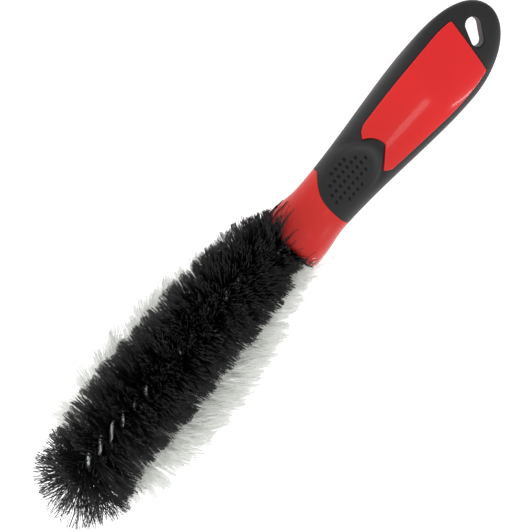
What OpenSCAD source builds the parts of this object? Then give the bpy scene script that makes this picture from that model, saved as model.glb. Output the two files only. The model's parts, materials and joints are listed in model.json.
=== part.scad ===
// Wheel brush. A two-shot moulded handle holds both ends of a hairpin of twisted wire, and the
// wire holds filament: black on the front leg and round the bend, white on the rear leg.
// Millimetres. +X runs along the brush to the hanging end, +Y across the handle and +Z out of
// the handle's front face. The origin is the middle of the bottom of the bounding box.
// Sections are worked out from the collar's face and the handle's axis, then placed.

/* [Handle] */
// Length of the handle, from the collar's face to the hanging end
handle_len = 141; // [125:1:175]
// Width of the collar at its widest
collar_w = 31; // [28:0.2:34]
// Depth of the collar, front to back
collar_d = 28; // [25:0.5:32]
// How far behind its face the collar is widest
collar_x = 8; // [5:0.5:11]
// Radius of the collar's front edge
collar_edge_r = 2.6; // [1:0.2:4]
// Width of the waist behind the collar
waist_w = 28; // [24:0.2:30]
// Depth of the waist
waist_d = 24; // [21:0.5:28]
// How far behind the collar's face the waist is
waist_x = 23; // [18:0.5:30]
// Width of the palm swell, the widest part of the handle
palm_w = 38.6; // [34:0.2:42]
// How far behind the collar's face the palm swell is
palm_x = 107; // [95:1:110]
// Depth of the belly of the grip
belly_d = 25.5; // [22:0.5:30]
// Where the belly is full
belly_x = 76; // [60:1:84]
// Where the belly starts to thin towards the hanging end
thinning_x = 90; // [86:1:96]
// Depth of the tab that the hang slot goes through
tab_d = 10; // [8:0.5:14]
// How far the hanging end leans to +Y of the handle's axis
end_lean = 2.3; // [0:0.1:5]

/* [Grip] */
// Thickness of the rubber-like grip over the core
grip_wall = 2; // [1.5:0.1:2.8]
// Where the grip's front edge is nearest the collar's face
grip_front_x = 24.5; // [18:0.5:30]
// How far the grip's front edge falls back at the +Y side
grip_front_sweep = 9.2; // [0:0.1:12]
// Gap of the bond line between the core and the grip moulded over it
bond_gap = 0.05; // [0.02:0.01:0.2]
// Band of grip left between the window and the handle's outline
window_margin = 4.5; // [3.5:0.1:7]
// How far the window's front end is shifted towards +Y
window_shift = 0.8; // [0:0.1:1.5]
// How far the window swings towards -Y from its front end to its rear end
window_swing = 1.6; // [0:0.1:2.5]
// How much nearer to the outline the window's rear corners come
window_flare = 0.4; // [0:0.05:1]
// Height of the window panel above the grip
window_proud = 0.5; // [0.1:0.1:1]
// Radius of the window's corners
window_corner_r = 0.8; // [0.3:0.1:1.4]
// Where the nose of grip that notches the window's front end is centred
notch_x = 53.4; // [50:0.1:60]
// Distance from the handle's axis to the nose's centre, towards +Y
notch_y = 0.9; // [0:0.1:1.5]
// Radius of the nose
notch_r = 9; // [8:0.1:10]
// Distance from the middle of the window's rear end to the middle of the hang slot
window_to_slot = 6.2; // [6:0.1:10]
// Slope of the window's rear end from square
window_end_tilt = 11; // [5:1:20]

/* [Thumb pad] */
// Distance from the collar's face to the middle of the thumb pad
pad_x = 41.5; // [40:0.5:44]
// Distance from the handle's axis to the middle of the pad, towards +Y
pad_y = 2.5; // [0:0.1:3]
// Length of the dished part of the pad
pad_len = 31; // [26:0.5:32]
// Width of the dished part of the pad
pad_w = 19.5; // [16:0.5:20]
// Depth of the dish at its middle
pad_depth = 0.8; // [0.3:0.1:1]
// Dimples in each row, from the +Y row
dimple_rows = [4, 7, 9, 8, 4];
// Distance between dimples along a row
dimple_pitch = 2.8; // [2.5:0.1:3]
// Distance between rows of dimples
dimple_row_pitch = 3.3; // [2.8:0.1:3.6]
// Diameter of a dimple
dimple_d = 1.7; // [1:0.1:1.8]
// Depth of a dimple
dimple_depth = 0.5; // [0.2:0.1:0.6]

/* [Hang slot] */
// Distance from the middle of the slot to the hanging end
slot_to_end = 13.4; // [12:0.1:16]
// Length of the slot
slot_len = 13.7; // [11:0.1:15]
// Radius of the slot's +Y end
slot_r_wide = 3.7; // [3:0.1:4]
// Radius of the slot's other end
slot_r_narrow = 3; // [2.4:0.1:3.6]
// Lean of the slot from square across the handle
slot_tilt = 30; // [0:1:35]
// Thickness of the grip that lines the slot
slot_lining = 1.6; // [1:0.1:2]

/* [Stem] */
// Length of the stem from the collar's face to the outside of its bend
stem_len = 137; // [110:1:170]
// Distance between the legs of the hairpin over most of its length
leg_gap = 22; // [18:0.5:28]
// Distance between the legs where they enter the collar
root_gap = 12; // [10:0.5:14]
// Length over which the legs spread from the root gap to the leg gap
spread_len = 45; // [30:1:60]
// Turn of the hairpin's plane about X from the handle's front face
loop_turn = 25; // [0:1:45]
// Sideways bow of the stem
stem_bow = 4.2; // [0:0.1:6]
// Length over which the bow sets in from the collar
bow_start = 18; // [15:1:40]
// Diameter of each strand of wire
strand_d = 2.3; // [1.8:0.1:2.8]
// Space between the strands, where the filament is gripped
strand_space = 0.9; // [0.5:0.1:1.4]
// Length of one full turn of the twist
twist_pitch = 15.6; // [12:0.2:20]
// Turn of the first strand where the front leg leaves the collar
twist_start = 80; // [0:1:180]
// Depth of the sockets in the collar
socket_depth = 20; // [14:1:22]
// Clearance round the stem in its sockets and in the filament
stem_clear = 0.3; // [0.1:0.05:0.4]

/* [Filament] */
// Reach of the black filament at the bend
black_r_tip = 22; // [18:0.5:28]
// Reach of the black filament at its fullest
black_r_full = 23.5; // [20:0.5:28]
// Reach of the black filament at the collar
black_r_root = 18.5; // [16:0.5:24]
// Reach of the white filament at the bend
white_r_tip = 27; // [22:0.5:32]
// Reach of the white filament at its fullest
white_r_full = 34; // [28:0.5:38]
// Reach of the white filament at the collar
white_r_root = 22; // [16:0.5:28]
// Distance from the collar's face to where the filament is fullest
full_x = 90; // [60:1:100]
// Gap between the collar and the first filament
collar_clear = 5; // [4:0.5:8]
// Gap between neighbouring bunches of filament
bunch_gap = 0.3; // [0.2:0.05:0.6]

/* [Hidden] */
red = [0.85, 0.14, 0.15];
grip_grey = [0.17, 0.17, 0.18];
wire_grey = [0.66, 0.67, 0.68];
filament_black = [0.05, 0.06, 0.07];
filament_white = [0.86, 0.87, 0.83];
tiny = 0.01;

// Handle: smoothness of its sections
ring_points = 32;
body_stations = 24;
round_power = 2;
palm_power = 2.45;
end_power = 2.1;
tab_power = 4;
lean_power = 1.5;
edge_power = 3;
edge_low_y = -3.5;
edge_steps = 11;
slot_x = handle_len - slot_to_end;

// Window: its outline starts edge_from behind the nose's centre, and its prongs and the heels
// behind them are placed from the same centre
tail_x = slot_x - window_to_slot;
edge_from = 9;
swing_len = 56;
swing_power = 1.5;
flare_x = 105;
flare_len = 18;
nose_from = 66;
nose_to = -5;
nose_step = 3.55;
lower_prong = [-0.1, -8.7];
lower_heel = [3.1, -11.3];
upper_heel = [6.1, 10.6];

// Cuts: how far they run on, and their sides
core_overrun = 2;
slot_sides = 48;
socket_sides = 32;
dish_sides = 40;
dimple_sides = 8;
dimple_foot = 0.7;
dimple_mouth = 1.6;
dimple_cut = 4;

// Stem: legs run at +Z and -Z of the hairpin's own axes, and U is the distance along the wire
bend_r = leg_gap / 2;
leg_len = stem_len - bend_r;
bend_len = PI * bend_r;
wire_len = 2 * leg_len + bend_len;
strand_offset = (strand_d + strand_space) / 2;
stem_r = strand_offset + strand_d / 2;
bow_fade = 0.6;
socket_floor = 0.5;
strand_sides = 6;
rings_per_turn = 10;

// Filament: one bunch for each full turn of the twist
black_len = leg_len - collar_clear + bend_len;
white_len = leg_len - collar_clear;
black_count = round(black_len / twist_pitch);
white_count = round(white_len / twist_pitch);
bunch_points = 20;
leg_segments = 3;
bend_segments = 8;

function two_digits(n) = n < 10 ? str("0", n) : str(n);
black_names = [for (i = [1:black_count]) str("black_bristles_", two_digits(i))];
white_names = [for (i = [1:white_count]) str("white_bristles_", two_digits(i))];

// ---- Small helpers ----

function clamp(t) = max(0, min(1, t));
function smooth(t) = let (c = clamp(t)) c * c * (3 - 2 * c);
function blend(a, b, t) = a + (b - a) * smooth(t);
function signed_pow(v, p) = sign(v) * pow(abs(v), p);
function unit(v) = v / norm(v);

// ---- Handle sections ----

// How far x is from the palm swell towards the end of a body set in by inset, 0 to 1
function end_share(x, inset) = clamp((x - palm_x) / (handle_len - inset - palm_x));

// Set-back of the collar's rounded front edge
function edge_set_back(x) =
    x < collar_edge_r ? collar_edge_r - sqrt(pow(collar_edge_r, 2) - pow(collar_edge_r - x, 2)) : 0;

function plain_w(x) = x < waist_x
    ? blend(collar_w, waist_w, (x - collar_x) / (waist_x - collar_x))
    : blend(waist_w, palm_w, (x - waist_x) / (palm_x - waist_x));

function plain_d(x) = x < waist_x
    ? blend(collar_d, waist_d, (x - collar_x) / (waist_x - collar_x))
    : x < thinning_x
        ? blend(waist_d, belly_d, (x - waist_x) / (belly_x - waist_x))
        : blend(belly_d, tab_d, (x - thinning_x) / (slot_x - thinning_x));

function half_w(x, inset = 0) =
    (plain_w(x) / 2 - inset - edge_set_back(x))
    * pow(1 - pow(end_share(x, inset), end_power), 1 / end_power);

function half_d(x, inset = 0) =
    (plain_d(x) / 2 - inset - edge_set_back(x))
    * pow(1 - pow(end_share(x, inset), tab_power), 1 / tab_power);

function section_power(x) = blend(round_power, palm_power, (x - waist_x) / (palm_x - waist_x));

// Sideways place of the section's middle
function mid_y(x) = end_lean * pow(end_share(x, 0), lean_power);

// Height of the front face above the handle's axis
function face_z(x, y) =
    let (n = section_power(x), share = min(1, abs(y - mid_y(x)) / half_w(x)))
    half_d(x) * pow(1 - pow(share, n), 1 / n);

// One closed section: a superellipse across the handle at x
function ring(x, inset) =
    let (p = 2 / section_power(x), a = half_w(x, inset), b = half_d(x, inset))
    [for (k = [0:ring_points - 1])
        let (turn = 360 * k / ring_points)
        [x, mid_y(x) + a * signed_pow(cos(turn), p), b * signed_pow(sin(turn), p)]];

// Stations between two places, closer together at both ends
function stations(from, to) =
    [for (i = [0:body_stations]) from + (to - from) * (1 - cos(180 * i / body_stations)) / 2];

// A solid through the sections from one place to another
module body(from, to, inset = 0) {
    places = stations(from, to);
    for (i = [0:body_stations - 1])
        hull() polyhedron(
            points = concat(ring(places[i], inset), ring(places[i + 1], inset)),
            faces = [
                [for (k = [0:ring_points - 1]) k],
                [for (k = [0:ring_points - 1]) ring_points + k]
            ]
        );
}

// ---- Handle outlines, drawn in X and Y and carried through the handle in Z ----

module through() {
    depth = 2 * max(collar_d, belly_d);
    linear_extrude(height = depth, center = true) children();
}

// Front edge of the grip: a power curve that falls back to the +Y side
function grip_edge(y) =
    let (reach = waist_w / 2 - edge_low_y)
    grip_front_x + grip_front_sweep * pow(abs(y - edge_low_y) / reach, edge_power);

module grip_region(gap = 0) {
    side = palm_w / 2 + 1;
    beyond = handle_len + 1;
    polygon(concat(
        [for (y = [-side:side / edge_steps:side]) [grip_edge(min(y, waist_w / 2)) + gap, y]],
        [[beyond, side], [beyond, -side]]
    ));
}

// Middle and half width of the window at x
function window_mid(x) =
    mid_y(x) + window_shift
    - window_swing * pow(max(0, x - notch_x - edge_from) / swing_len, swing_power);

function window_half(x) =
    half_w(x) - window_margin + window_flare * smooth((x - flare_x) / flare_len);

// The window: the handle's outline set in by the margin, with a slanted rear end and a front
// end notched by a round nose of the grip
module window(gap = 0) {
    nose = [notch_x, notch_y];
    first_x = notch_x + edge_from;
    last_x = tail_x + edge_from;
    edge_x = [for (i = [0:edge_steps]) first_x + (last_x - first_x) * i / edge_steps];
    tail_lean = tan(window_end_tilt);
    offset(r = window_corner_r - gap) offset(delta = -window_corner_r)
        intersection() {
            polygon(concat(
                [nose + lower_prong, nose + lower_heel],
                [for (x = edge_x) [x, window_mid(x) - window_half(x)]],
                [for (i = [edge_steps:-1:0])
                    let (x = edge_x[i])
                    [x, window_mid(x) + window_half(x)]],
                [nose + upper_heel],
                [for (turn = [nose_from:-nose_step:nose_to])
                    nose + notch_r * [cos(turn), sin(turn)]]
            ));
            polygon([
                [0, -palm_w],
                [tail_x - tail_lean * palm_w, -palm_w],
                [tail_x + tail_lean * palm_w, palm_w],
                [0, palm_w]
            ]);
        }
}

// The hang slot: two rounds of different radius and their common tangents
module slot(grow = 0) {
    translate([slot_x, mid_y(slot_x)]) rotate(-slot_tilt) hull() {
        translate([0, slot_len / 2 - slot_r_wide]) circle(r = slot_r_wide + grow, $fn = slot_sides);
        translate([0, slot_r_narrow - slot_len / 2]) circle(r = slot_r_narrow + grow, $fn = slot_sides);
    }
}

// Shallow dish for the thumb
module pad_dish() {
    translate([pad_x, pad_y, face_z(pad_x, pad_y)])
        scale([pad_len / 2, pad_w / 2, 2 * pad_depth])
            sphere(r = 1, $fn = dish_sides);
}

// Rows of small round dimples that follow the face
module pad_dimples() {
    middle_row = (len(dimple_rows) - 1) / 2;
    for (row = [0:len(dimple_rows) - 1]) {
        count = dimple_rows[row];
        y = pad_y + (middle_row - row) * dimple_row_pitch;
        for (i = [0:count - 1]) {
            x = pad_x + (i - (count - 1) / 2) * dimple_pitch;
            share = min(1, norm([(x - pad_x) / (pad_len / 2), (y - pad_y) / (pad_w / 2)]));
            dish = 2 * pad_depth * sqrt(1 - share * share);
            translate([x, y, face_z(x, y) - dish - dimple_depth])
                cylinder(
                    d1 = dimple_d * dimple_foot,
                    d2 = dimple_d * dimple_mouth,
                    h = dimple_cut * dimple_depth,
                    $fn = dimple_sides
                );
        }
    }
}

// ---- Stem: the wire's path and its own axes ----

// How far round the bend the wire is, 0 to 180 degrees
function bend_angle(u) = 180 * clamp((u - leg_len) / bend_len);

// Distance in front of the collar's face; less than 0 inside the sockets
function ahead(u) = u < leg_len
    ? u
    : u > leg_len + bend_len
        ? wire_len - u
        : leg_len + bend_r * sin(bend_angle(u));

function leg_spread(u) = blend(root_gap, leg_gap, ahead(u) / spread_len) / 2;

function bow(u) =
    stem_bow * smooth(ahead(u) / bow_start) * (1 - bow_fade * clamp(ahead(u) / stem_len));

function wire_at(u) = [-ahead(u), bow(u), leg_spread(u) * cos(bend_angle(u))];

function wire_way(u) = unit(wire_at(u + tiny) - wire_at(u - tiny));

// Outwards from the hairpin, square to the wire
function outwards(u) =
    let (a = bend_angle(u), rough = [-sin(a), 0, cos(a)], t = wire_way(u))
    unit(rough - (rough * t) * t);

function sideways(u) = cross(wire_way(u), outwards(u));

// From the hairpin's axes to the handle's
function turned(p) = [
    p.x,
    p.y * cos(loop_turn) + p.z * sin(loop_turn),
    -p.y * sin(loop_turn) + p.z * cos(loop_turn)
];

// Skin of a tube: rings of equal count, closed with a flat face at each end
function tube_faces(rings, sides) = concat(
    [[for (k = [0:sides - 1]) k]],
    [for (i = [0:rings - 2]) for (k = [0:sides - 1])
        let (a = i * sides, b = a + sides, n = (k + 1) % sides)
        each [[a + k, b + k, b + n], [a + k, b + n, a + n]]],
    [[for (k = [sides - 1:-1:0]) (rings - 1) * sides + k]]
);

// Middle of one strand, which winds left-handed round the wire's path
function strand_at(u, phase) =
    let (turn = phase - 360 * u / twist_pitch)
    wire_at(u) + strand_offset * (cos(turn) * outwards(u) + sin(turn) * sideways(u));

function strand_ring(u, phase) =
    let (
        middle = strand_at(u, phase),
        way = unit(strand_at(u + tiny, phase) - strand_at(u - tiny, phase)),
        radial = unit(cross(way, sideways(u))),
        across = cross(way, radial)
    )
    [for (k = [0:strand_sides - 1])
        let (turn = 360 * k / strand_sides)
        turned(middle + strand_d / 2 * (cos(turn) * radial + sin(turn) * across))];

module strand(phase) {
    start = -socket_depth + socket_floor;
    length = wire_len - 2 * start;
    rings = ceil(length / twist_pitch * rings_per_turn);
    points = [for (i = [0:rings]) each strand_ring(start + length * i / rings, phase)];
    polyhedron(points = points, faces = tube_faces(rings + 1, strand_sides), convexity = 10);
}

// ---- Filament bunches ----

function reach(ahead, root, full, tip) = ahead < full_x
    ? blend(root, full, ahead / full_x)
    : blend(full, tip, (ahead - full_x) / (stem_len - full_x));

// Distance from the wire to the hairpin's mid-plane, less half a gap
function inner_reach(u) = leg_spread(u) - bunch_gap / 2;

// One section of a bunch: an outer outline, then the outline of the way for the stem
function bunch_ring(u, r) =
    let (
        middle = wire_at(u),
        out = outwards(u),
        side = sideways(u),
        bore_r = (stem_r + stem_clear) / cos(180 / bunch_points)
    )
    concat(
        [for (k = [0:bunch_points - 1])
            let (
                turn = 360 * k / bunch_points,
                reach_in = cos(turn) < 0 ? inner_reach(u) / -cos(turn) : r
            )
            turned(middle + min(r, reach_in) * (cos(turn) * out + sin(turn) * side))],
        [for (k = [0:bunch_points - 1])
            let (turn = 360 * k / bunch_points)
            turned(middle + bore_r * (cos(turn) * out + sin(turn) * side))]
    );

// Skin of a sleeve: an outer and an inner outline on each ring
function sleeve_faces(rings, sides) =
    let (size = 2 * sides, last = (rings - 1) * size)
    concat(
        [for (k = [0:sides - 1])
            let (n = (k + 1) % sides)
            each [[k, n, sides + n], [k, sides + n, sides + k]]],
        [for (i = [0:rings - 2]) for (k = [0:sides - 1])
            let (
                a = i * size + k,
                a_next = i * size + (k + 1) % sides,
                b = a + size,
                b_next = a_next + size
            )
            each [
                [a, b, b_next],
                [a, b_next, a_next],
                [a_next + sides, b_next + sides, b + sides],
                [a_next + sides, b + sides, a + sides]
            ]],
        [for (k = [0:sides - 1])
            let (n = (k + 1) % sides)
            each [
                [last + sides + k, last + sides + n, last + n],
                [last + sides + k, last + n, last + k]
            ]]
    );

// Points of one bunch; from and to are distances along the wire
function bunch_points_of(from, to, segments, radii) =
    [for (i = [0:segments])
        let (u = from + (to - from) * i / segments)
        each bunch_ring(u, reach(ahead(u), radii[0], radii[1], radii[2]))];

function segments_of(from, to) = to > leg_len && from < leg_len + bend_len ? bend_segments : leg_segments;

black_radii = [black_r_root, black_r_full, black_r_tip];
white_radii = [white_r_root, white_r_full, white_r_tip];

// Start and end of bunch i along the wire
function black_span(i) =
    let (step = black_len / black_count)
    [collar_clear + (i - 1) * step, collar_clear + i * step - bunch_gap];

function white_span(i) =
    let (step = white_len / white_count, last_u = wire_len - collar_clear)
    [last_u - i * step + bunch_gap, last_u - (i - 1) * step];

function points_of(span, radii) =
    bunch_points_of(span[0], span[1], segments_of(span[0], span[1]), radii);

module bunch(span, radii) {
    rings = segments_of(span[0], span[1]) + 1;
    polyhedron(
        points = points_of(span, radii),
        faces = sleeve_faces(rings, bunch_points),
        convexity = 6
    );
}

// ---- Place of the collar's face and the handle's axis in the finished frame ----

head_points = concat(
    [for (i = [1:black_count]) each points_of(black_span(i), black_radii)],
    [for (i = [1:white_count]) each points_of(white_span(i), white_radii)]
);
head_y = [for (p = head_points) p.y];
head_low_x = min([for (p = head_points) p.x]);
head_low_z = min([for (p = head_points) p.z]);
low_y = min(min(head_y), -palm_w / 2);
high_y = max(max(head_y), palm_w / 2);

module place() {
    translate([-(handle_len + head_low_x) / 2, -(low_y + high_y) / 2, -head_low_z]) children();
}

// ---- Pieces ----

// Gloss core: the collar, the neck and the window panels, and the inside of the grip
module handle_core() {
    color(red) place() difference() {
        union() {
            difference() {
                body(0, grip_front_x + grip_front_sweep + core_overrun);
                through() grip_region();
            }
            body(waist_x, handle_len - grip_wall, grip_wall);
            intersection() {
                body(notch_x - 1, slot_x, -window_proud);
                through() window(bond_gap);
            }
        }
        through() slot(slot_lining);
        rotate([-loop_turn, 0, 0])
            for (side = [-1, 1])
                translate([-tiny, 0, side * root_gap / 2])
                    rotate([0, 90, 0])
                        cylinder(r = stem_r + stem_clear, h = socket_depth, $fn = socket_sides);
    }
}

// Rubber-like grip, moulded over the core
module grip_overmould() {
    color(grip_grey) place() difference() {
        intersection() {
            body(waist_x, handle_len);
            through() grip_region(bond_gap);
        }
        body(waist_x - 1, handle_len - grip_wall + bond_gap, grip_wall - bond_gap);
        through() window();
        through() slot();
        pad_dish();
        pad_dimples();
    }
}

module stem_strand_a() color(wire_grey) place() strand(twist_start);
module stem_strand_b() color(wire_grey) place() strand(twist_start + 180);

module black_bristles(i) color(filament_black) place() bunch(black_span(i), black_radii);
module white_bristles(i) color(filament_white) place() bunch(white_span(i), white_radii);

handle_core();
grip_overmould();
stem_strand_a();
stem_strand_b();
for (i = [1:black_count]) black_bristles(i);
for (i = [1:white_count]) white_bristles(i);
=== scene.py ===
# Wheel brush: a gloss red core with a black rubber grip over it, a hairpin of twisted wire,
# and filament held by the wire, black on the front leg and round the bend, white on the rear leg.
# Sizes are millimetres in the handle's own axes: 0 is the middle of the collar's face, +X runs to
# the hanging end, +Y across the handle and +Z out of its front. toWorld turns them into metres.
import json
import math
import bpy
import numpy as np
from mathutils import Matrix


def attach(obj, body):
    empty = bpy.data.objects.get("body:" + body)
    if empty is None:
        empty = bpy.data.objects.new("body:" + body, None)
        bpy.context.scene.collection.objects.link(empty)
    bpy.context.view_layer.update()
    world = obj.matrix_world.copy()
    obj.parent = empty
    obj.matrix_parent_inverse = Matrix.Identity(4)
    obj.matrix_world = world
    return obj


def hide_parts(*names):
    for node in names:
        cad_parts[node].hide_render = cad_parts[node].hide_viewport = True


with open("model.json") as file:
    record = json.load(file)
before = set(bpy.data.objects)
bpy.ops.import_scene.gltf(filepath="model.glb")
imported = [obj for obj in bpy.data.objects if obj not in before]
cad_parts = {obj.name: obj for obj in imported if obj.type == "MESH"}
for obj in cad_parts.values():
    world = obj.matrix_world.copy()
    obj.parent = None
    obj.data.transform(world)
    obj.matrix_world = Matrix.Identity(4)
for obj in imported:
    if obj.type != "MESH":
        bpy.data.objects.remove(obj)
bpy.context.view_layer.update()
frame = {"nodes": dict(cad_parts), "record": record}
mountPlace = np.array(frame["record"]["mounts"][0]["pos_m"], float)
print("frame loaded,", len(frame["nodes"]), "nodes")


def smooth(t):
    c = np.clip(t, 0, 1)
    return c * c * (3 - 2 * c)


def blend(a, b, t):
    return a + (b - a) * smooth(t)


def unit(v):
    return v / np.maximum(np.linalg.norm(v, axis=-1, keepdims=True), 1e-12)


def bell(distance, width):
    return np.exp(-(distance / width) ** 2)


# Quads between neighbouring rows of a grid of point numbers; the columns close on themselves
def quadsOf(grid):
    a, b = grid[:-1], grid[1:]
    aNext, bNext = np.roll(a, -1, axis=1), np.roll(b, -1, axis=1)
    return np.stack([a, aNext, bNext, b], axis=-1).reshape(-1, 4)


# Triangles from one closed row of point numbers to a pole
def fanOf(row, pole):
    return np.stack([row, np.roll(row, -1), np.full(len(row), pole)], axis=-1)


# Makes a mesh object from whole arrays: points n by 3 in millimetres, and face arrays n by 3 or 4
def makePiece(name, points, faceArrays, finish, node, values=None, crease=None):
    mesh = bpy.data.meshes.new(name)
    world = toWorld(points)
    corners = np.concatenate([f.reshape(-1) for f in faceArrays]).astype(np.int32)
    sizes = np.concatenate([np.full(len(f), f.shape[1]) for f in faceArrays]).astype(np.int32)
    mesh.vertices.add(len(world))
    mesh.vertices.foreach_set("co", world.astype(np.float32).reshape(-1))
    mesh.loops.add(len(corners))
    mesh.loops.foreach_set("vertex_index", corners)
    mesh.polygons.add(len(sizes))
    mesh.polygons.foreach_set("loop_start", (np.cumsum(sizes) - sizes).astype(np.int32))
    mesh.polygons.foreach_set("use_smooth", np.ones(len(sizes), bool))
    mesh.update(calc_edges=True)
    for key, value in (values or {}).items():
        layer = mesh.attributes.new(key, "FLOAT", "POINT")
        layer.data.foreach_set("value", value.astype(np.float32))
    if crease:
        mesh.set_sharp_from_angle(angle=math.radians(crease))
    mesh.materials.append(finish)
    piece = bpy.data.objects.new(name, mesh)
    bpy.context.scene.collection.objects.link(piece)
    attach(piece, "root")
    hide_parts(node)
    return piece


handle = {
    "length": 141.0, "collarWidth": 31.0, "collarDepth": 28.0, "collarX": 8.0, "edgeRadius": 2.6,
    "waistWidth": 28.0, "waistDepth": 24.0, "waistX": 23.0, "palmWidth": 38.6, "palmX": 107.0,
    "bellyDepth": 25.5, "bellyX": 76.0, "thinningX": 90.0, "tabDepth": 10.0, "endLean": 2.3,
    "roundPower": 2.0, "palmPower": 2.45, "endPower": 2.1, "tabPower": 4.0, "leanPower": 1.5,
    "slotToEnd": 13.4, "gripFrontX": 24.5, "gripFrontSweep": 9.2, "gripLowY": -3.5, "gripHighY": 13.5,
    "around": 240,      # points round each section
}
slotX = handle["length"] - handle["slotToEnd"]


def endShare(x, inset=0.0):
    h = handle
    return np.clip((x - h["palmX"]) / (h["length"] - inset - h["palmX"]), 0, 1)


def edgeSetBack(x):
    r = handle["edgeRadius"]
    return r - np.sqrt(r * r - np.clip(r - x, 0, r) ** 2)


# Width: collar to waist to palm swell, then a superellipse quarter down to nothing at the end
def halfWidth(x, inset=0.0):
    h = handle
    plain = np.where(
        x < h["waistX"],
        blend(h["collarWidth"], h["waistWidth"], (x - h["collarX"]) / (h["waistX"] - h["collarX"])),
        blend(h["waistWidth"], h["palmWidth"], (x - h["waistX"]) / (h["palmX"] - h["waistX"])))
    close = (1 - endShare(x, inset) ** h["endPower"]) ** (1 / h["endPower"])
    return (plain / 2 - inset - edgeSetBack(x)) * close


# Depth: collar to waist to belly, thinning to the tab, closed by a squarer quarter at the end
def halfDepth(x, inset=0.0):
    h = handle
    plain = np.where(
        x < h["waistX"],
        blend(h["collarDepth"], h["waistDepth"], (x - h["collarX"]) / (h["waistX"] - h["collarX"])),
        np.where(
            x < h["thinningX"],
            blend(h["waistDepth"], h["bellyDepth"], (x - h["waistX"]) / (h["bellyX"] - h["waistX"])),
            blend(h["bellyDepth"], h["tabDepth"], (x - h["thinningX"]) / (slotX - h["thinningX"]))))
    close = (1 - endShare(x, inset) ** h["tabPower"]) ** (1 / h["tabPower"])
    return (plain / 2 - inset - edgeSetBack(x)) * close


def middleY(x):
    return handle["endLean"] * endShare(x) ** handle["leanPower"]


def sectionPower(x):
    h = handle
    return blend(h["roundPower"], h["palmPower"], (x - h["waistX"]) / (h["palmX"] - h["waistX"]))


# Height of the front face over the axis: z = b (1 - |y/a|^n)^(1/n)
def faceHeight(x, y, inset=0.0):
    n = sectionPower(x)
    share = np.clip(np.abs(y - middleY(x)) / np.maximum(halfWidth(x, inset), 1e-6), 0, 1)
    return np.maximum(halfDepth(x, inset), 0) * (1 - share ** n) ** (1 / n)


# The body's surface: y = a cos(turn), and z on the superellipse through it
def bodyPoint(x, turn, inset=0.0):
    x, turn = np.broadcast_arrays(np.asarray(x, float), turn)
    n = sectionPower(x)
    side = np.cos(turn)
    y = middleY(x) + halfWidth(x, inset) * side
    z = np.sign(np.sin(turn)) * halfDepth(x, inset) * (1 - np.abs(side) ** n) ** (1 / n)
    return np.stack([x, y, z], axis=-1)


# Outward direction: the slope of |y/a|^n + |z/b|^n, taken across a short step in x
def bodyNormal(p):
    x, y, z = p[..., 0], p[..., 1], p[..., 2]

    def level(xAt):
        n = sectionPower(xAt)
        a, b = np.maximum(halfWidth(xAt), 1e-3), np.maximum(halfDepth(xAt), 1e-3)
        return np.abs((y - middleY(xAt)) / a) ** n + np.abs(z / b) ** n

    n = sectionPower(x)
    a, b = np.maximum(halfWidth(x), 1e-3), np.maximum(halfDepth(x), 1e-3)
    off = (y - middleY(x)) / a
    step = 0.02
    gx = (level(np.minimum(x + step, handle["length"] - 1e-3)) - level(x - step)) / (2 * step)
    gy = n * np.sign(off) * np.abs(off) ** (n - 1) / a
    gz = n * np.sign(z) * np.abs(z / b) ** (n - 1) / b
    return unit(np.stack([gx, gy, gz], axis=-1))


# Front edge of the grip, falling back to the +Y side by the third power
def gripEdge(y):
    h = handle
    low, high = h["gripLowY"], h["gripHighY"]
    share = np.abs((np.minimum(y, high) - low) / (high - low))
    return h["gripFrontX"] + h["gripFrontSweep"] * share ** 3


# Where the grip's front edge meets each line along the handle, found by repeating the formula
def edgeAlong(turn):
    x = np.full_like(turn, 28.0)   # a first guess near the edge
    for _ in range(40):
        x = 0.5 * x + 0.5 * gripEdge(halfWidth(x) * np.cos(turn))
    return x


origin = mountPlace * 1000 - np.array([slotX, float(middleY(np.array(slotX))), 0.0])


def toWorld(points):
    return (points + origin) / 1000


turns = np.linspace(0, 2 * math.pi, handle["around"], endpoint=False)
edgeX = edgeAlong(turns)


window = {
    "margin": 4.5, "shift": 0.8, "swing": 1.6, "swingSpan": 56.0, "flare": 0.4, "flareX": 105.0,
    "flareSpan": 18.0, "tailX": slotX - 6.2, "tailTilt": 11.0, "edgeFrom": 9.0, "cornerRadius": 0.8,
    "nose": [53.4, 0.9], "noseRadius": 9.0, "noseTurn": [66.0, -5.0],
    "lowProng": [-0.1, -8.7], "lowHeel": [3.1, -11.3], "highHeel": [6.1, 10.6],     # from the nose
    "middle": [85.0, -1.0], "proud": 0.5, "sunk": 1.9, "underLift": 0.06, "wallAt": [-1.2, -0.5],
    "gap": 0.05, "edgeRound": 0.45, "points": 720,
}
hangSlot = {"length": 13.7, "wideRadius": 3.7, "narrowRadius": 3.0, "tilt": 30.0, "rimRound": 1.1,
            "points": 240}


# Evenly spaced points along a closed loop
def evenLoop(loop, count):
    closed = np.vstack([loop, loop[:1]])
    along = np.concatenate([[0], np.cumsum(np.linalg.norm(np.diff(closed, axis=0), axis=1))])
    at = np.linspace(0, along[-1], count, endpoint=False)
    return np.stack([np.interp(at, along, closed[:, k]) for k in (0, 1)], axis=-1)


# Moves each point of an even loop along its normal; a positive amount grows an anticlockwise loop
def growLoop(loop, amount):
    way = unit(np.roll(loop, -1, axis=0) - np.roll(loop, 1, axis=0))
    return loop + amount * np.stack([way[:, 1], -way[:, 0]], axis=-1)


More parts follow.
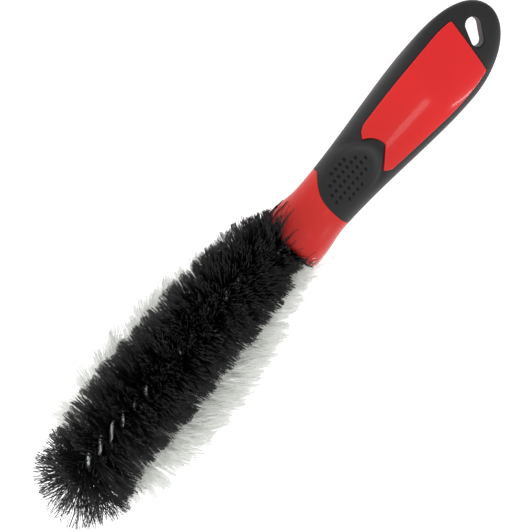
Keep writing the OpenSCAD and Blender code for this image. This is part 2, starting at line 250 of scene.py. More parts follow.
# The handle's outline set in by the margin, a slanted rear end, and a front end notched by a nose
def windowLoop():
    w = window
    centre = np.array(w["nose"])
    startX = centre[0] + w["edgeFrom"]
    lean = math.tan(math.radians(w["tailTilt"]))
    x = np.linspace(startX, w["tailX"] + 8, 160)
    middle = middleY(x) + w["shift"] - w["swing"] * ((x - startX) / w["swingSpan"]) ** 1.5
    half = halfWidth(x) - w["margin"] + w["flare"] * smooth((x - w["flareX"]) / w["flareSpan"])
    low = np.stack([x, middle - half], axis=-1)
    high = np.stack([x, middle + half], axis=-1)
    low = low[low[:, 0] < w["tailX"] + lean * low[:, 1]]
    high = high[high[:, 0] < w["tailX"] + lean * high[:, 1]][::-1]
    arc = np.radians(np.linspace(*w["noseTurn"], 21))
    nose = centre + w["noseRadius"] * np.stack([np.cos(arc), np.sin(arc)], axis=-1)
    loop = np.vstack([[centre + w["lowProng"]], [centre + w["lowHeel"]], low, high,
                      [centre + w["highHeel"]], nose])
    fine = 2400
    loop = evenLoop(loop, fine)
    # corners are rounded by averaging the loop over a corner's length, three times
    length = np.linalg.norm(np.roll(loop, -1, axis=0) - loop, axis=1).sum()
    span = int(fine * w["cornerRadius"] * 0.9 / length) | 1
    for _ in range(3):
        loop = np.mean([np.roll(loop, k, axis=0) for k in range(-(span // 2), span // 2 + 1)], axis=0)
    return evenLoop(loop, w["points"])


# Two rounds of different radius and their common tangents, leaning across the handle
def slotLoop():
    s = hangSlot
    span = s["length"] - s["wideRadius"] - s["narrowRadius"]
    tip = math.asin((s["wideRadius"] - s["narrowRadius"]) / span)
    upper = np.linspace(-tip, math.pi + tip, 90)
    lower = np.linspace(math.pi + tip, 2 * math.pi - tip, 80)
    top = np.stack([np.cos(upper) * s["wideRadius"],
                    np.sin(upper) * s["wideRadius"] + s["length"] / 2 - s["wideRadius"]], axis=-1)
    foot = np.stack([np.cos(lower) * s["narrowRadius"],
                     np.sin(lower) * s["narrowRadius"] - s["length"] / 2 + s["narrowRadius"]], axis=-1)
    loop = evenLoop(np.vstack([top, foot]), s["points"])
    a = math.radians(-s["tilt"])
    turned = loop @ np.array([[math.cos(a), math.sin(a)], [-math.sin(a), math.cos(a)]])
    return turned + np.array([slotX, float(middleY(np.array(slotX)))])


# Distance from each point to a loop, less than 0 inside it, and the nearest place on the loop
def loopDistance(loop, points):
    distance = np.full(len(points), 99.0)
    nearest = points.copy()
    lo, hi = loop.min(0) - 3, loop.max(0) + 3
    close = np.flatnonzero(((points > lo) & (points < hi)).all(axis=1))
    for part in np.array_split(close, max(1, len(close) // 3000)):
        p = points[part][:, None]
        a, b = loop[None], np.roll(loop, -1, axis=0)[None]
        t = np.clip(((p - a) * (b - a)).sum(-1) / ((b - a) ** 2).sum(-1), 0, 1)
        foot = a + t[..., None] * (b - a)
        gaps = np.linalg.norm(p - foot, axis=-1)
        best = gaps.argmin(axis=1)
        rows = np.arange(len(part))
        crosses = ((a[..., 1] > p[..., 1]) != (b[..., 1] > p[..., 1])) & (
            p[..., 0] < (b[..., 0] - a[..., 0]) * (p[..., 1] - a[..., 1])
            / np.where(a[..., 1] == b[..., 1], 1e-12, b[..., 1] - a[..., 1]) + a[..., 0])
        inside = crosses.sum(axis=1) % 2 == 1
        distance[part] = np.where(inside, -1, 1) * gaps[rows, best]
        nearest[part] = foot[rows, best]
    return distance, nearest


# Edges, as pairs of point numbers, that a kept face shares with a face that is in the loop
def sharedEdges(kept, inside, count):
    def edgesOf(quads):
        return np.stack([quads, np.roll(quads, -1, axis=1)], axis=-1).reshape(-1, 2)
    mine, theirs = edgesOf(kept), edgesOf(inside)
    found = np.isin(mine[:, 0] * count + mine[:, 1], theirs[:, 1] * count + theirs[:, 0])
    return mine[found]


windowEdge, slotEdge = windowLoop(), slotLoop()
print("outlines ready")


# Wraps an output socket, so that an expression on it adds its Math nodes
class Link:
    def __init__(self, finish, socket):
        self.finish, self.socket = finish, socket

    def math(self, operation, *others):
        return self.finish.node("ShaderNodeMath", {"operation": operation},
                                dict(enumerate((self,) + others)))

    def __add__(self, other): return self.math("ADD", other)
    def __radd__(self, other): return self.math("ADD", other)
    def __sub__(self, other): return self.math("SUBTRACT", other)
    def __rsub__(self, other): return self.finish.number(other, "SUBTRACT", self)
    def __mul__(self, other): return self.math("MULTIPLY", other)
    def __rmul__(self, other): return self.math("MULTIPLY", other)
    def __pow__(self, other): return self.math("POWER", other)

    def clamp(self): return self.math("MINIMUM", 1.0).math("MAXIMUM", 0.0)


# One material and its nodes
class Finish:
    def __init__(self, name):
        self.material = bpy.data.materials.new(name)
        self.material.use_nodes = True
        self.tree = self.material.node_tree
        self.tree.nodes.clear()
        self.place = self.node("ShaderNodeTexCoord", {}, {}, "Object")

    # Any node: its type, its settings, then its sockets' values or links
    def node(self, kind, settings, sockets, output=0):
        made = self.tree.nodes.new(kind)
        for key, value in settings.items():
            setattr(made, key, value)
        for key, value in sockets.items():
            if isinstance(value, Link):
                self.tree.links.new(value.socket, made.inputs[key])
            else:
                made.inputs[key].default_value = value
        return Link(self, made.outputs[output])

    def number(self, value, operation, other):
        return self.node("ShaderNodeMath", {"operation": operation}, {0: value, 1: other})

    # Noise on the piece's own coordinates; size is the distance between its lumps in millimetres
    def noise(self, size, detail=2.0, stretch=(1, 1, 1), rough=0.5):
        at = self.node("ShaderNodeMapping", {}, {"Vector": self.place, "Scale": stretch})
        return self.node("ShaderNodeTexNoise", {}, {
            "Vector": at, "Scale": 1000 / size, "Detail": detail, "Roughness": rough})

    # Small closed cells, for a textured moulding; size is a cell in millimetres
    def pores(self, size):
        return self.node("ShaderNodeTexVoronoi", {"feature": "SMOOTH_F1"}, {
            "Vector": self.place, "Scale": 1000 / size, "Randomness": 1.0, "Smoothness": 0.3})

    def mix(self, share, first, second):
        return self.node("ShaderNodeMix", {"data_type": "RGBA"}, {0: share, 6: first, 7: second}, 2)

    # A value that the mesh carries on its points
    def value(self, name):
        return self.node("ShaderNodeAttribute", {"attribute_name": name}, {}, "Fac")

    # Bump whose full height is depth, in millimetres
    def bump(self, height, strength=1.0, depth=0.05, below=None):
        sockets = {"Height": height, "Strength": strength, "Distance": depth / 1000}
        if below:
            sockets["Normal"] = below
        return self.node("ShaderNodeBump", {}, sockets)

    def shade(self, sockets):
        shader = self.node("ShaderNodeBsdfPrincipled", {}, sockets)
        end = self.tree.nodes.new("ShaderNodeOutputMaterial")
        self.tree.links.new(shader.socket, end.inputs["Surface"])
        return self.material


def rgb(r, g, b):
    return (r, g, b, 1.0)


# Gloss red plastic: a lacquer-like coat, slight flow marks, faint ripple and a few dull rubs
def glossRed():
    f = Finish("glossRedPlastic")
    flow = f.noise(26, 2.0, (0.5, 1, 1))
    speck = f.noise(1.1, 3.0)
    rub = (f.noise(9, 4.0, (0.25, 1.6, 1.6), 0.65) - 0.56).clamp() * 2.2
    away = f.node("ShaderNodeSeparateXYZ", {}, {0: f.place}, 0)
    rear = ((away - 0.045) * 14.0).clamp()
    neck = f.mix(flow, rgb(0.52, 0.020, 0.017), rgb(0.58, 0.026, 0.020))
    panel = f.mix(flow, rgb(0.70, 0.003, 0.006), rgb(0.76, 0.006, 0.009))
    colour = f.mix(rear, neck, panel)
    colour = f.mix(rub.clamp() * 0.12, colour, rgb(0.80, 0.08, 0.07))
    ripple = f.bump(f.noise(2.4, 1.0), 0.16, 0.05)
    peel = f.bump(speck, 0.10, 0.012, ripple)
    return f.shade({
        "Base Color": colour, "Roughness": 0.30 + speck * 0.08 + rub * 0.2,
        "Coat Weight": 0.06 + rear * 0.4 - rub * 0.1, "Coat Roughness": 0.08,
        "Specular IOR Level": 0.2, "Normal": peel})


# Rubber-like grip: fine spark-eroded texture, a paler painted highlight on the rear of the thumb pad's
# rim, painted shade in the dimples, soft sheen
def gripRubber():
    f = Finish("gripRubber")
    grain = f.pores(0.42)
    fine = f.noise(0.25, 3.0)
    cloud = f.noise(17, 3.0)
    colour = f.mix(cloud, rgb(0.009, 0.009, 0.0095), rgb(0.015, 0.015, 0.016))
    colour = f.mix((grain * 0.5).clamp(), colour, rgb(0.022, 0.022, 0.023))
    # a paler painted highlight on the rear of the thumb pad's rim, on the side where light falls
    colour = f.mix(f.value("rimHighlight") * 0.8, colour, rgb(0.032, 0.033, 0.034))
    # the dimples are painted almost black: painted shade in the recesses
    colour = f.mix(f.value("hollow") * 0.9, colour, rgb(0.002, 0.002, 0.002))
    skin = f.bump(grain, 0.35, 0.05)
    skin = f.bump(fine, 0.3, 0.03, skin)
    return f.shade({
        "Base Color": colour, "Roughness": 0.42 + cloud * 0.12 + fine * 0.08 + f.value("hollow") * 0.3,
        "Specular IOR Level": 0.25, "Sheen Weight": 0.03, "Sheen Roughness": 0.5, "Normal": skin})


# Galvanised wire: mottled zinc, drawing lines along the strand and dull patches
def galvanisedWire():
    f = Finish("galvanisedWire")
    patch = f.noise(1.6, 4.0, (1, 1, 1), 0.6)
    lines = f.node("ShaderNodeTexNoise", {}, {
        "Vector": f.node("ShaderNodeCombineXYZ", {}, {
            "X": f.value("around") * 9.0, "Y": f.value("along") * 0.9, "Z": 0.0}),
        "Scale": 3.0, "Detail": 3.0})
    colour = f.mix(patch, rgb(0.50, 0.54, 0.51), rgb(0.80, 0.83, 0.79))
    return f.shade({
        "Base Color": colour, "Metallic": 1.0, "Roughness": 0.22 + patch * 0.25,
        "Normal": f.bump(lines, 0.3, 0.06)})


# Nylon filament: each end has its own shade, is paler towards its tip, and has a little waviness in its
# gloss
def nylon(name, dark, light, tip, roughness, tipShare, shine):
    f = Finish(name)
    wave = f.noise(0.9, 2.0)
    colour = f.mix(f.value("shade"), dark, light)
    colour = f.mix((f.value("along") ** 4.0) * tipShare, colour, tip)
    return f.shade({
        "Base Color": colour, "Roughness": roughness + (wave - 0.5) * 0.2 + f.value("shade") * 0.08,
        "Specular IOR Level": shine, "Normal": f.bump(wave, 0.15, 0.03)})


finishes = {
    "red": glossRed(), "grip": gripRubber(), "wire": galvanisedWire(),
    "black": nylon("blackNylon", rgb(0.0012, 0.0016, 0.0024), rgb(0.004, 0.0048, 0.006),
                   rgb(0.028, 0.028, 0.030), 0.38, 0.5, 0.30),
    "white": nylon("whiteNylon", rgb(0.90, 0.93, 0.86), rgb(0.97, 0.98, 0.95),
                   rgb(0.98, 0.98, 0.97), 0.42, 0.5, 0.5),
}
print("finishes ready")


core = {"bond": 0.05, "edgeRound": 0.2, "underGrip": 2.12, "innerEndX": 117.0, "socketDepth": 1.2,
        "socketRadius": 3.6, "wireOffset": 6.0, "turn": 25.0}


# Rows run from the middle of the collar's face, over its rounded edge, along the neck to the
# grip's edge, down the bond line and along inside the grip to a closed end
def makeCore():
    c, around = core, handle["around"]
    r = handle["edgeRadius"]
    rim = bodyPoint(0.0, turns)
    capShares = np.linspace(1, 0, 27)[:-1]
    cap = rim[None] * capShares[::-1][:, None, None]
    a = math.radians(c["turn"])
    wires = np.array([[math.sin(a), math.cos(a)], [-math.sin(a), -math.cos(a)]]) * c["wireOffset"]
    gaps = np.min([np.hypot(cap[..., 1] - w[0], cap[..., 2] - w[1]) for w in wires], axis=0)
    cap[..., 0] = c["socketDepth"] * smooth((c["socketRadius"] - gaps) / 0.8)
    bend = r * (1 - np.cos(np.linspace(0, math.pi / 2, 14)[1:]))
    front = bodyPoint(bend[:, None], turns[None])
    share = np.linspace(0, 1, 78)[1:, None]
    lastX = edgeX[None] - c["bond"]
    neckX = r + (lastX - c["edgeRound"] - r) * share
    neck = bodyPoint(neckX, turns[None])
    quarter = np.linspace(0, math.pi / 2, 5)[1:, None]
    roundX = lastX - c["edgeRound"] + c["edgeRound"] * np.sin(quarter)
    sink = c["edgeRound"] * (1 - np.cos(quarter))
    lip = bodyPoint(roundX, turns[None])
    lip -= bodyNormal(lip) * sink[..., None]
    wallInset = np.linspace(0.5, c["underGrip"], 5)[:, None]
    wall = bodyPoint(np.broadcast_to(lastX, (5, around)), turns[None], wallInset)
    innerX = lastX + (c["innerEndX"] - lastX) * np.linspace(0, 1, 60)[1:, None]
    inner = bodyPoint(innerX, turns[None], c["underGrip"])
    grid = np.concatenate([cap[1:], front, neck, lip, wall, inner])
    grid = grid[:, ::-1]
    rows = len(grid)
    numbers = np.arange(rows * around).reshape(rows, around)
    points = [grid.reshape(-1, 3), [[0.0, 0.0, 0.0]], [[c["innerEndX"], 0.6, 0.0]]]
    faces = [quadsOf(numbers),
             fanOf(numbers[0][::-1], rows * around),
             fanOf(numbers[-1], rows * around + 1)]
    count = rows * around + 2
    for side in (1, -1):
        p, f = panel(side)
        points.append(p)
        faces += [q + count for q in f]
        count += len(p)
    quads = [f for f in faces if f.shape[1] == 4]
    triangles = [f for f in faces if f.shape[1] == 3]
    return makePiece("coreMoulding", np.vstack(points), quads + triangles, finishes["red"],
                     "handle_core", crease=50)


# A window panel: loops set in from the outline and rounded at the edge, then drawn together on one
# point, all at a set height over the handle's face; below it a wall and a flat underside
def panel(side):
    w = window
    outline = growLoop(windowEdge[::2], -w["gap"])
    middle = np.array(w["middle"])
    r = w["edgeRound"]
    floorHeight = -(w["sunk"] - w["underLift"])
    loops, heights = [outline] * 3, [floorHeight] + w["wallAt"]
    for quarter in np.linspace(0, math.pi / 2, 6):
        loops.append(growLoop(outline, -r * (1 - math.cos(quarter))))
        heights.append(w["proud"] - r * (1 - math.sin(quarter)))
    last = loops[-1]
    for share in (1 - np.linspace(0, 1, 46) ** 1.3)[1:-1]:
        loops.append(middle + (last - middle) * share)
        heights.append(w["proud"])
    under = [middle + (outline - middle) * share for share in np.linspace(0.12, 0.94, 10)]
    loops = np.array(under + loops)
    heights = np.array([floorHeight] * len(under) + heights)
    x, y = loops[..., 0], loops[..., 1]
    base = np.stack([x, y, faceHeight(x, y)], axis=-1)
    points = (base + bodyNormal(base) * heights[:, None, None]).reshape(-1, 3)
    poleBase = np.array([[middle[0], middle[1], float(faceHeight(middle[0], middle[1]))]] * 2)
    poles = poleBase + bodyNormal(poleBase) * np.array([[heights[0]], [w["proud"]]])
    numbers = np.arange(len(points)).reshape(-1, loops.shape[1])
    count = len(points)
    faces = [quadsOf(numbers), fanOf(numbers[0][::-1], count), fanOf(numbers[-1], count + 1)]
    points = np.vstack([points, poles])
    if side < 0:
        points[:, 2] *= -1
        faces = [f[:, ::-1] for f in faces]
    return points, faces


pad = {
    "x": 41.5, "y": 2.5, "length": 31.0, "width": 19.5, "depth": 0.9, "rim": 0.4, "rimWidth": 0.12,
    "valley": 0.5, "rowY": [9.3, 6.3, 2.8, -0.8, -4.4], "rowX": [41.3, 41.1, 41.2, 38.9, 38.3],
    "rowCount": [4, 7, 9, 8, 4], "pitch": 2.8, "dimpleRadius": 0.95, "dimpleDepth": 0.75,
}
gripSkin = {"edgeRound": 0.45, "cavity": 2.04, "cavityEndX": 118.5, "step": 0.42, "endZone": 8.0,
            "lip": 0.35, "thumbEndX": 62.0, "crowd": 0.055, "crowdSpan": 0.6, "endRows": 39,
            "cavityEndY": 0.6, "slotLevels": 14}


# Height of the thumb pad over the face: an elliptical dish, its rim, and five rows of dimples.
# Also how far into a dimple a point is and how near the rim towards its rear, 0 to 1, for the finish's
# painted shade in the dimples and painted highlight on the rear rim
def padHeight(x, y):
    p = pad
    share = np.hypot((x - p["x"]) / (p["length"] / 2), (y - p["y"]) / (p["width"] / 2))
    rear = smooth((x - p["x"]) / (p["length"] / 2))
    height = -p["depth"] * np.clip(1 - share ** 2, 0, 1) ** 1.1
    height += p["rim"] * rear * bell(share - 1.02, p["rimWidth"])
    height -= p["valley"] * rear * bell(share - 1.24, 0.13)
    hollow = np.zeros(len(x))
    for rowX, rowY, count in zip(p["rowX"], p["rowY"], p["rowCount"]):
        place = (x - rowX) / p["pitch"] + (count - 1) / 2
        nearest = np.clip(np.round(place), 0, count - 1)
        gap = np.hypot((place - nearest) * p["pitch"], y - rowY) / p["dimpleRadius"]
        hollow += np.clip(1 - gap ** 2, 0, 1) ** 0.8
    return height - p["dimpleDepth"] * hollow, hollow, rear * bell(share - 0.97, 0.14)


# Rows run from the closed end of the cavity, out over the front edge and along the outside to the
# hanging end. Faces in the windows are sunk, and the slot's two rims are joined by its wall
def makeGrip():
    g, around, length = gripSkin, handle["around"], handle["length"]
    front = edgeX[None]
    cavityX = g["cavityEndX"] + (front - g["cavityEndX"]) * np.linspace(0, 1, 46)[:, None]
    cavity = bodyPoint(cavityX, turns[None], g["cavity"])
    wall = bodyPoint(np.broadcast_to(front, (3, around)), turns[None],
                     np.array([1.5, 1.0, g["edgeRound"]])[:, None])
    quarter = np.linspace(0, math.pi / 2, 6)[1:, None]
    lip = bodyPoint(front + g["edgeRound"] * (1 - np.cos(quarter)), turns[None])
    lip -= bodyNormal(lip) * (g["edgeRound"] * (1 - np.sin(quarter)))[..., None]
    startX = front + g["edgeRound"]
    bodyRows = int((length - g["endZone"] - 28) / g["step"])
    # rows stand closer together under the thumb pad
    even = np.linspace(0, 1, bodyRows)
    warp = even - g["crowd"] * np.sin(np.pi * np.clip(even / g["crowdSpan"], 0, 1)) ** 2
    outerX = startX + (length - g["endZone"] - startX) * warp[1:, None]
    q = np.linspace(1, 0, g["endRows"])[1:-1, None]
    endX = np.broadcast_to(length - g["endZone"] * q ** 2, (len(q), around))
    skinX = np.concatenate([outerX, endX])
    skin = bodyPoint(skinX, turns[None])
    inner = np.concatenate([cavity, wall, lip])
    firstSkin = len(inner)
    grid = np.concatenate([inner, skin])
    rows = len(grid)
    numbers = np.arange(rows * around).reshape(rows, around)
    points = grid.reshape(-1, 3).copy()
    sheet = np.where(np.sin(turns) >= 0, 1.0, -1.0)[None].repeat(rows, axis=0).reshape(-1)
    onSkin = np.arange(len(points)) >= firstSkin * around
    quads = quadsOf(numbers)
    # both outlines: points on the line between faces inside and outside are moved onto it
    state = np.zeros(len(quads), int)      # 1 in the window, 2 in the slot
    gaps = []
    for kind, loop in ((1, windowEdge), (2, slotEdge)):
        gap, nearest = loopDistance(loop, np.where(onSkin[:, None], points[:, :2], -99.0))
        into = gap[quads].mean(axis=1) < 0
        state[into] = kind
        line = np.intersect1d(np.unique(quads[into]), np.unique(quads[(state != kind)]))
        line = line[gap[line] < 5]
        points[line, :2] = nearest[line]
        points[line, 2] = sheet[line] * faceHeight(points[line, 0], points[line, 1])
        gap[line] = 0
        gaps.append(gap)
    windowGap, slotGap = gaps
    normals = bodyNormal(points)
    x, y = points[:, 0], points[:, 1]
    height = np.zeros(len(points))
    thumb = onSkin & (sheet > 0) & (x < g["thumbEndX"])
    hollow, rimHighlight = np.zeros(len(points)), np.zeros(len(points))
    height[thumb], hollow[thumb], rimHighlight[thumb] = padHeight(x[thumb], y[thumb])
    lipR, rimR = g["lip"], hangSlot["rimRound"]
    nearWindow = onSkin & (windowGap >= 0) & (windowGap < lipR)
    height[nearWindow] -= lipR - np.sqrt(np.maximum(lipR ** 2 - (lipR - windowGap[nearWindow]) ** 2, 0))
    nearSlot = onSkin & (slotGap >= 0) & (slotGap < rimR)
    height[nearSlot] -= rimR - np.sqrt(np.maximum(rimR ** 2 - (rimR - slotGap[nearSlot]) ** 2, 0))
    inWindow = onSkin & (windowGap < 0)
    height[inWindow] = -window["sunk"]
    top = points + normals * height[:, None]
    # window: the outline's points are doubled, and the lower copy closes the sunk floor
    sunkFaces, keptFaces = quads[state == 1], quads[state == 0]
    rim = sharedEdges(keptFaces, sunkFaces, len(points))
    rimPoints = np.unique(rim)
    lower = np.arange(len(points))
    lower[rimPoints] = len(points) + np.arange(len(rimPoints))
    low = points[rimPoints] - normals[rimPoints] * window["sunk"]
    top = np.vstack([top, low])
    windowWall = np.stack([rim[:, 1], rim[:, 0], lower[rim[:, 0]], lower[rim[:, 1]]], axis=-1)
    # slot: levels between the front rim's points and their mirror images on the back
    rim = sharedEdges(keptFaces, quads[state == 2], len(points))
    rim = rim[(sheet[rim] > 0).all(axis=1)]
    rimPoints = np.unique(rim)
    row, col = rimPoints // around, rimPoints % around
    backPoints = row * around + (-col) % around
    levels = g["slotLevels"]
    t = np.linspace(0, 1, levels + 1)[1:-1, None, None]
    between = top[rimPoints][None] * (1 - t) + top[backPoints][None] * t
    order = np.zeros(len(points), int)
    order[rimPoints] = np.arange(len(rimPoints))
    ladder = np.vstack([rimPoints[None],
                        len(top) + np.arange((levels - 1) * len(rimPoints)).reshape(levels - 1, -1),
                        backPoints[None]])
    top = np.vstack([top, between.reshape(-1, 3)])
    i, j = order[rim[:, 0]], order[rim[:, 1]]
    slotWall = np.stack([ladder[:-1, j], ladder[:-1, i], ladder[1:, i], ladder[1:, j]], axis=-1)
    slotWall = slotWall.reshape(-1, 4)
    poles = [[g["cavityEndX"], g["cavityEndY"], 0.0], [length, handle["endLean"], 0.0]]
    count = len(top)
    top = np.vstack([top, poles])
    faces = [keptFaces, lower[sunkFaces], windowWall, slotWall,
             fanOf(numbers[0][::-1], count), fanOf(numbers[-1], count + 1)]
    # the rows' quads face inwards, so all are turned round
    faces = [f[:, ::-1] for f in faces]
    spare = np.zeros(len(top) - len(points))
    # these values paint shade into the dimples and a highlight onto the pad's rear rim
    values = {"hollow": np.concatenate([hollow, spare]), "rimHighlight": np.concatenate([rimHighlight, spare])}
    return makePiece("gripSkin", top, faces, finishes["grip"], "grip_overmould",
                     values, 50)


print("core:", len(makeCore().data.polygons), "faces")
print("grip:", len(makeGrip().data.polygons), "faces")


stem = {
    "length": 137.0, "legGap": 22.0, "rootGap": 12.0, "spread": 45.0, "turn": 25.0, "bow": 4.2,
    "bowFade": 0.6, "bowStart": 18.0, "strandWidth": 2.3, "strandSpace": 0.9, "pitch": 15.6,
    "start": 80.0, "inSocket": 19.5, "sides": 12, "ringsPerTurn": 26,
}
bendRadius = stem["legGap"] / 2
legLength = stem["length"] - bendRadius
bendLength = math.pi * bendRadius
wireLength = 2 * legLength + bendLength


# Half a turn, taken evenly over the bend; u is the distance along the wire
def bendAngle(u):
    return math.pi * np.clip((u - legLength) / bendLength, 0, 1)


# Distance in front of the collar's face
def aheadOf(u):
    return np.where(u < legLength, u, np.where(u > legLength + bendLength, wireLength - u,
                                               legLength + bendRadius * np.sin(bendAngle(u))))


# The wire's path in the hairpin's own axes: out along one leg, round the bend and back
def wireAt(u):
    ahead = aheadOf(u)
    bow = stem["bow"] * smooth(ahead / stem["bowStart"])
    bow = bow * (1 - stem["bowFade"] * np.clip(ahead / stem["length"], 0, 1))
    half = blend(stem["rootGap"], stem["legGap"], ahead / stem["spread"]) / 2
    return np.stack([-ahead, bow, half * np.cos(bendAngle(u))], axis=-1)


# Along the wire, outwards from the hairpin and sideways, each square to the others
def wireAxes(u):
    way = unit(wireAt(u + 0.01) - wireAt(u - 0.01))
    a = bendAngle(u)
    rough = np.stack([-np.sin(a), np.zeros_like(a), np.cos(a)], axis=-1)
    out = unit(rough - (rough * way).sum(-1, keepdims=True) * way)
    return way, out, np.cross(way, out)


# The hairpin's own axes are turned about X
def fromHairpin(p):
    a = math.radians(stem["turn"])
    return np.stack([p[..., 0], p[..., 1] * math.cos(a) + p[..., 2] * math.sin(a),
                     -p[..., 1] * math.sin(a) + p[..., 2] * math.cos(a)], axis=-1)


# Turn of a strand round the wire, in radians
def strandTurn(u, phase):
    return np.radians(stem["start"] + phase - 360 * u / stem["pitch"])


# Middle of a strand: a left-handed helix round the wire's path
def strandAt(u, phase):
    way, out, side = wireAxes(u)
    t = strandTurn(u, phase)[..., None]
    offset = (stem["strandWidth"] + stem["strandSpace"]) / 2
    return wireAt(u) + offset * (np.cos(t) * out + np.sin(t) * side)


# A round tube carried along the helix, closed at both ends
def makeStrand(name, phase, node):
    s = stem
    span = wireLength + 2 * s["inSocket"]
    rings = int(span / s["pitch"] * s["ringsPerTurn"])
    u = np.linspace(-s["inSocket"], wireLength + s["inSocket"], rings)
    way = unit(strandAt(u + 0.01, phase) - strandAt(u - 0.01, phase))
    radial = unit(np.cross(way, wireAxes(u)[2]))
    across = np.cross(way, radial)
    t = np.linspace(0, 2 * math.pi, s["sides"], endpoint=False)[None, :, None]
    ring = strandAt(u, phase)[:, None] + s["strandWidth"] / 2 * (
        np.cos(t) * radial[:, None] + np.sin(t) * across[:, None])
    points = fromHairpin(ring).reshape(-1, 3)
    numbers = np.arange(len(points)).reshape(len(u), -1)
    ends = fromHairpin(strandAt(u[[0, -1]], phase))
    count = len(points)
    faces = [quadsOf(numbers), fanOf(numbers[0][::-1], count), fanOf(numbers[-1], count + 1)]
    along = np.concatenate([np.repeat(u, s["sides"]), u[[0, -1]]])
    around = np.concatenate([np.tile(np.cos(t[0, :, 0]), len(u)), [0, 0]])
    return makePiece(name, np.vstack([points, ends]), faces, finishes["wire"], node,
                     {"along": along, "around": around})


makeStrand("wireStrandA", 0.0, "stem_strand_a")
makeStrand("wireStrandB", 180.0, "stem_strand_b")
print("stem ready")


blackFilament = {
    "ends": 1700, "endsTip": 820, "width": 0.38, "reachAt": [0, 15, 30, 55, 80, 100, 125, 137],
    "reach": [19.0, 21.5, 22.5, 23.8, 24.2, 24.4, 23.0, 24.8], "lowRoot": 0.40, "bunches": 10,
    "from": 2.0, "length": legLength - 2 + bendLength, "spread": 85.0, "spreadTip": 9.0,
    "tufts": 190, "tuftsTip": 190, "gather": 0.62, "gatherTip": 0.85, "leanRoot": 16.0,
    "leanMiddle": 5.0, "leanTip": 0.0, "leanSpread": 8.0, "early": 0.4, "late": 1.3, "sag": 2.4,
    "curl": 0.12, "short": 0.22, "inward": 3.5, "strays": 0.09, "seed": 11,
}
whiteFilament = {
    "ends": 2300, "endsTip": 3700, "width": 0.30, "reachAt": [0, 8, 22, 40, 55, 80, 110, 125, 137],
    "reach": [12.0, 18.0, 24.5, 28.5, 32.5, 36.0, 36.5, 32.5, 28.0], "lowRoot": 0.0, "bunches": 8,
    "from": legLength + bendLength, "length": legLength - 2, "spread": 45.0, "spreadTip": 45.0,
    "tufts": 170, "tuftsTip": 330, "gather": 0.78, "gatherTip": 0.66, "leanRoot": 22.0,
    "leanMiddle": 22.0, "leanTip": -26.0, "leanSpread": 7.0, "early": 0.0, "late": 1.9, "sag": 0.0,
    "curl": 0.10, "short": 0.32, "inward": 0.5, "strays": 0.12, "seed": 23,
}
# Places are distances in front of the collar, in millimetres
fibre = {
    "rings": 5, "sides": 3, "tipFrom": 95.0, "tipSpan": 30.0, "fanFrom": 92.0, "fanSpan": 18.0,
    "apart": 0.7, "turnApart": 9.0, "leanApart": 4.0, "strayEnd": 12.0, "strayLean": [22.0, 42.0],
    "strayLong": 0.85, "lowRootEnd": 26.0, "leanMiddleAt": 70.0, "leanTipFrom": 100.0,
    "sagFrom": 112.0, "sagSpan": 20.0, "overCollar": 0.35, "collarFrom": -0.6,
}
fibreRings, fibreSides = fibre["rings"], fibre["sides"]


